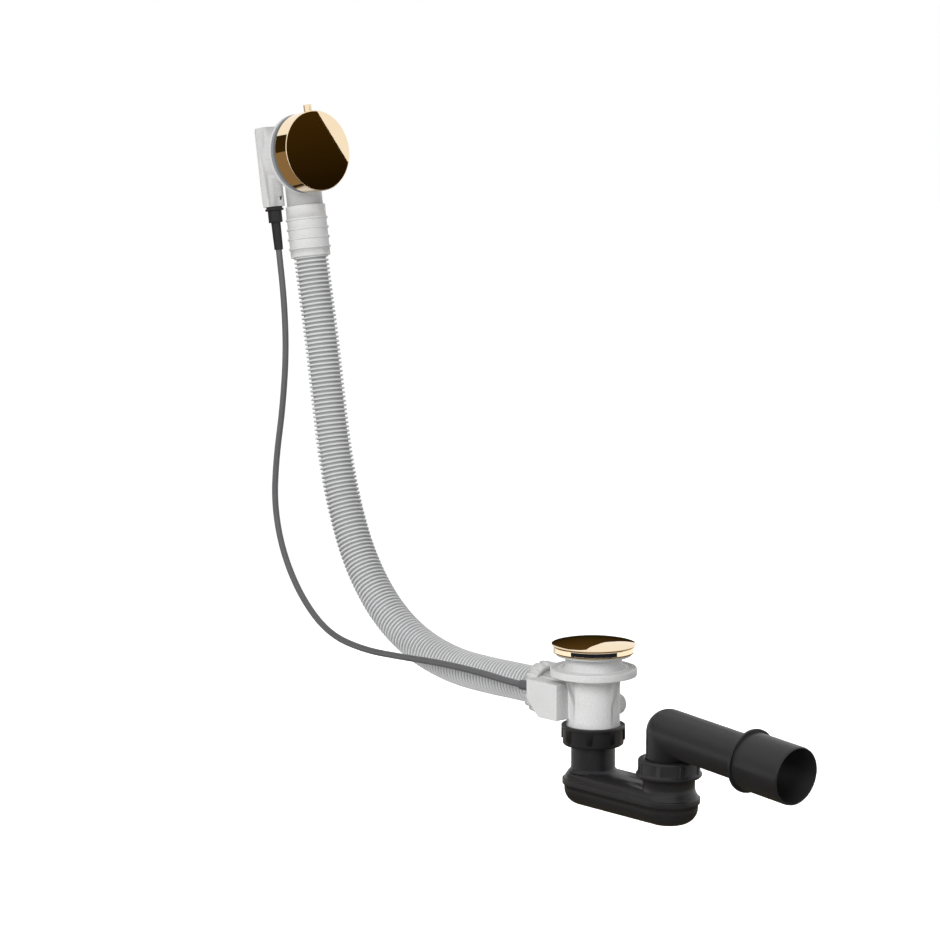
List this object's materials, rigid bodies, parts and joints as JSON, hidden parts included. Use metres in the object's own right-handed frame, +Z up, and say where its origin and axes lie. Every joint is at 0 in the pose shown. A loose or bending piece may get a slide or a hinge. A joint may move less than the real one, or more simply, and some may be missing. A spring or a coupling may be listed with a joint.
{
  "type": "bath waste and overflow",
  "caption": "Bath waste with a turn-knob overflow, corrugated hose, cable-lifted plug, low flat trap and a short outlet pipe with a sleeve.",
  "frame": {"origin": "on the waste's upright axis, at the top face of the white flange that draws up under the bath", "axes": "+Z up, +X from the overflow towards the outlet pipe, +Y across, away from the lifting gear's housing"},
  "size_m": [0.6991, 0.0762, 0.6005],
  "materials": {
    "gold": "polished gold-coloured plating",
    "white": "satin white moulding",
    "black": "satin black moulding",
    "dark_rubber": "matt black rubber",
    "clear_rubber": "cloudy clear rubber",
    "grey_foam": "matt grey closed-cell foam",
    "steel": "drawn stainless steel",
    "bare_brass": "turned brass",
    "inner_plastic": "natural acetal",
    "hose_plastic": "corrugated white hose",
    "sheath": "smooth grey cable sheath"
  },
  "bodies": {
    "fittings": {"waste_ring": "gold", "ring_gasket": "clear_rubber", "guide_screw": "bare_brass", "waste_body": "white", "shaft_seal": "dark_rubber", "lever_box": "white", "box_relief": "sheath", "port_nut": "white", "port_seal": "dark_rubber", "body_nut": "black", "body_nut_seal": "dark_rubber", "trap_upper": "black", "trap_lower": "black", "outlet_nut": "black", "outlet_seal": "dark_rubber", "elbow_pipe": "black", "outlet_sleeve": "black", "sleeve_seal": "dark_rubber", "overflow_body": "white", "gear_cover": "white", "spindle_seal": "dark_rubber", "overflow_seal": "grey_foam", "clamp_plate": "steel", "plate_screws": "steel", "hose_cuff": "white", "overflow_hose": "hose_plastic", "cable_gland": "black", "gland_relief": "black", "cable": "sheath"},
    "knob_group": {"knob": "gold", "knob_pin": "gold", "spindle": "steel", "pinion": "inner_plastic"},
    "rack_group": {"rack": "inner_plastic", "upper_wire": "steel"},
    "lift_group": {"lift_shaft": "steel", "lift_finger": "inner_plastic", "lift_crank": "inner_plastic"},
    "wire_group": {"lower_wire": "steel"},
    "plug_group": {"plug_cap": "gold", "plug_body": "white", "plug_seal": "dark_rubber", "seal_nut": "inner_plastic", "plug_stem": "bare_brass"}
  },
  "joints": [
    {"name": "knob_turn", "type": "hinge", "parent": "fittings", "child": "knob_group", "pos_m": [-0.3974, 0, 0.4331], "axis": [-0.9863, 0, -0.165], "range_deg": [0, 90]},
    {"name": "rack_slide", "type": "slide", "parent": "fittings", "child": "rack_group", "axis": [-0.165, 0, 0.9863], "range_m": [0, 0.00943]},
    {"name": "lift_shaft_turn", "type": "hinge", "parent": "fittings", "child": "lift_group", "pos_m": [-0.0144, 0, -0.032], "axis": [0, -1, 0], "range_deg": [0, 45.01]},
    {"name": "wire_slide", "type": "slide", "parent": "fittings", "child": "wire_group", "axis": [-1, 0, 0], "range_m": [0, 0.00893]},
    {"name": "plug_lift", "type": "slide", "parent": "fittings", "child": "plug_group", "axis": [0, 0, 1], "range_m": [0, 0.01131]}
  ],
  "couplings": [
    {"joint": "rack_slide", "follows": "knob_turn", "m_per_rad": 0.006},
    {"joint": "lift_shaft_turn", "follows": "knob_turn", "ratio": 0.5},
    {"joint": "wire_slide", "follows": "knob_turn", "m_per_rad": 0.005686},
    {"joint": "plug_lift", "follows": "knob_turn", "m_per_rad": 0.0072}
  ]
}
